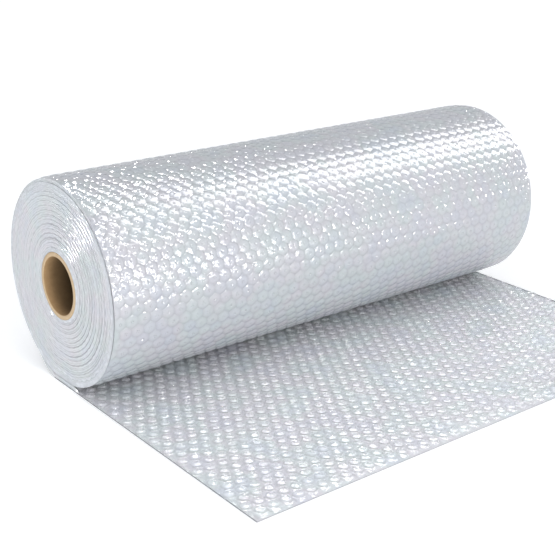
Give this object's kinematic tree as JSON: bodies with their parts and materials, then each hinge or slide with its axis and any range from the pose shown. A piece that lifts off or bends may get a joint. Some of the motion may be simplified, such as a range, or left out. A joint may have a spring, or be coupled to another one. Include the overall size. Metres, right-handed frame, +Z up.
{
  "type": "bubble wrap roll",
  "caption": "Roll of clear small-bubble packing film on a cardboard core, lying on its side with its free end unrolled flat on the floor.",
  "frame": {"origin": "on the floor, in the middle of the rectangle that the roll and its free end cover", "axes": "+X along the roll's axis, -Y towards the cut of the free end, +Z up"},
  "size_m": [0.5, 0.3688, 0.1837],
  "materials": {
    "core_card": "brown kraft card, wound and glued in a spiral, paler at its cut ends",
    "film": "clear polyethylene film with small air bubbles, glossy, milky white where it is wound"
  },
  "bodies": {
    "root": {"core_tube": "core_card", "bubble_film": "film"}
  },
  "joints": []
}
